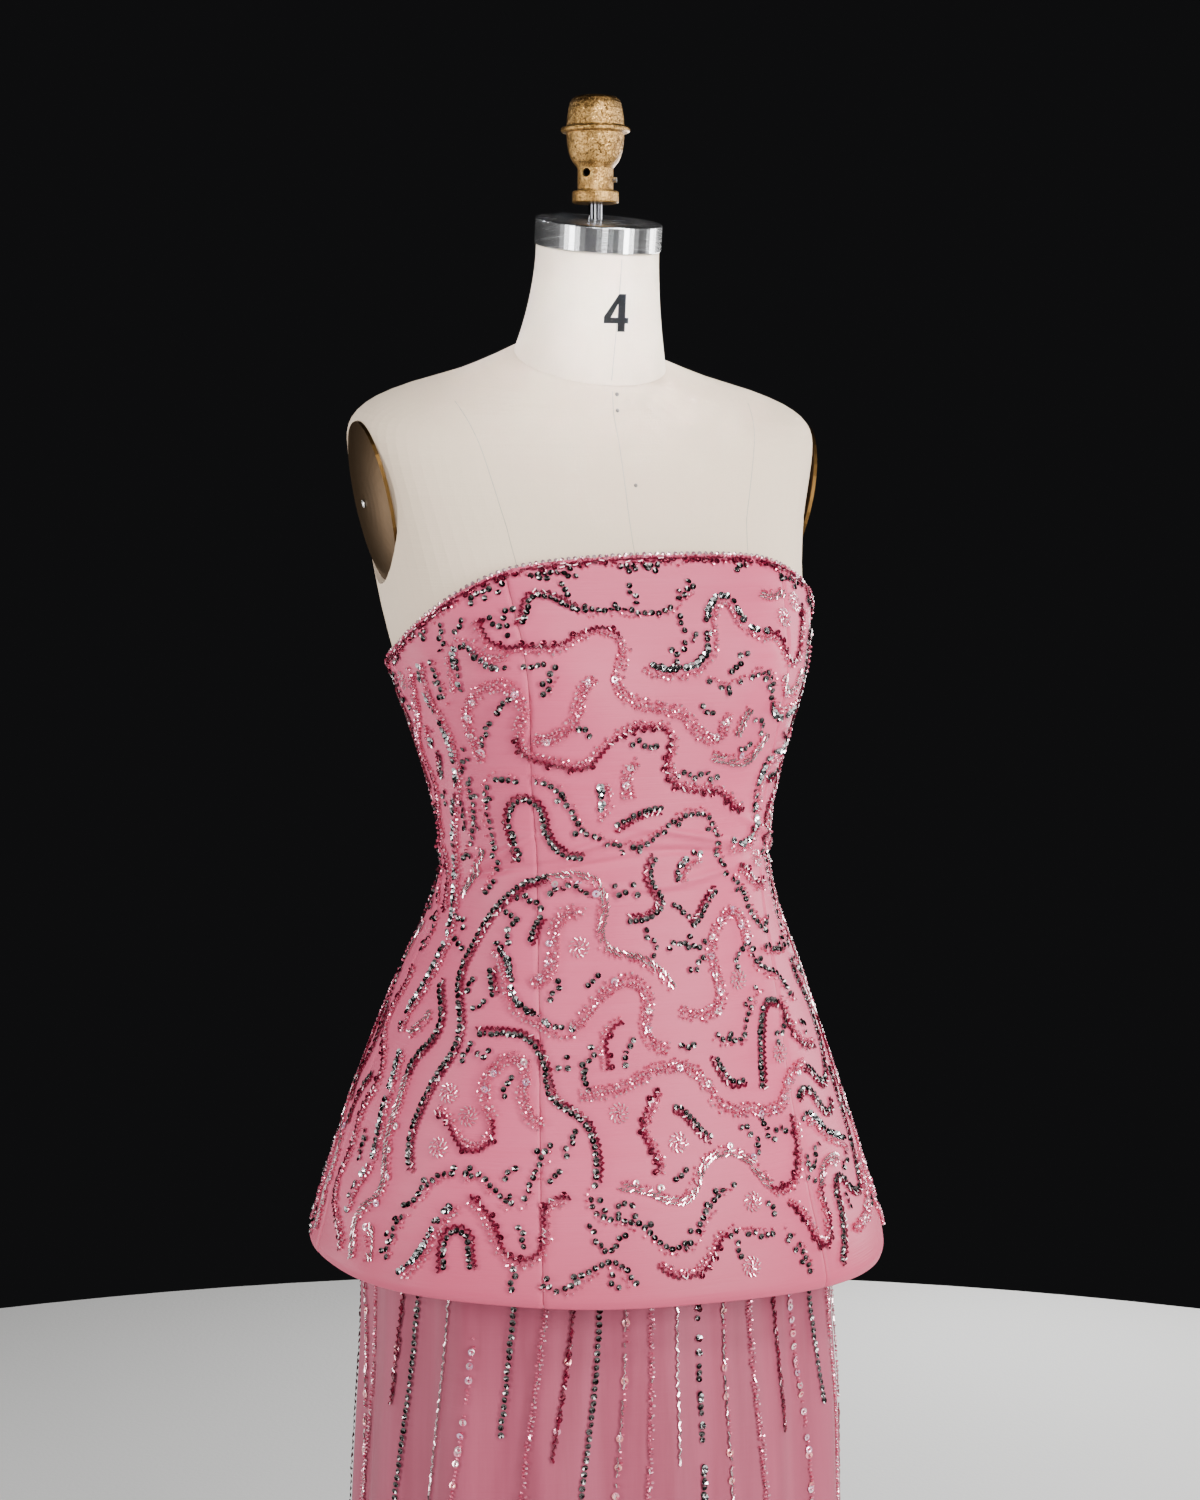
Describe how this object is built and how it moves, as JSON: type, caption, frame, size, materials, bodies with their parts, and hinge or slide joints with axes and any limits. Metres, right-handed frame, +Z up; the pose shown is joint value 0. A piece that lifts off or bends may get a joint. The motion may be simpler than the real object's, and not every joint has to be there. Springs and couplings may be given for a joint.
{
  "type": "two-piece evening gown on a dress form",
  "caption": "Pink strapless peplum top over a long slim skirt, both with lines of beads, on a linen-covered limbless dress form with a round-footed stand",
  "frame": {"origin": "On the floor under the middle of the stand's pole, which is the middle of its foot's flat underside.", "axes": "+Z is up. The front of the gown faces -Y and the wearer's left is +X."},
  "size_m": [0.4337, 0.395, 1.5977],
  "materials": {
    "top_cloth": "pink faille with a fine crosswise rib and a soft sheen, beaded",
    "skirt_cloth": "dusty pink satin under fine net, beaded in upright lines",
    "zip_tape": "woven tape and coil dyed to match",
    "linen": "off-white plain-woven linen over a papier-mache shell",
    "steel": "polished steel",
    "cast_brass": "rough cast brass",
    "bronze": "satin bronze plate",
    "screws": "steel screws",
    "iron": "black enamelled iron",
    "zip_metal": "small die-cast zip slider and pull"
  },
  "bodies": {
    "gown_and_form": {"top_front": "top_cloth", "top_side_front_right": "top_cloth", "top_side_front_left": "top_cloth", "top_side_back_right": "top_cloth", "top_side_back_left": "top_cloth", "top_back_right": "top_cloth", "top_back_left": "top_cloth", "top_zip": "zip_tape", "top_zip_slider": "zip_metal", "skirt_front": "skirt_cloth", "skirt_back_right": "skirt_cloth", "skirt_back_left": "skirt_cloth", "skirt_waistband": "skirt_cloth", "skirt_zip": "zip_tape", "form_torso": "linen", "form_neck": "linen", "neck_plate": "steel", "neck_spindle": "steel", "finial": "cast_brass", "finial_set_screw": "screws", "arm_plate_right": "bronze", "arm_plate_left": "bronze", "arm_plate_screw_right": "screws", "arm_plate_screw_left": "screws", "form_flange": "iron", "stand_pole": "steel", "stand_base": "iron"},
    "zip_pull": {"top_zip_pull": "zip_metal"}
  },
  "joints": [
    {"name": "zip_pull_swing", "type": "hinge", "parent": "gown_and_form", "child": "zip_pull", "pos_m": [0, 0.1044, 1.1875], "axis": [1, 0, 0], "range_deg": [0, 150]}
  ]
}
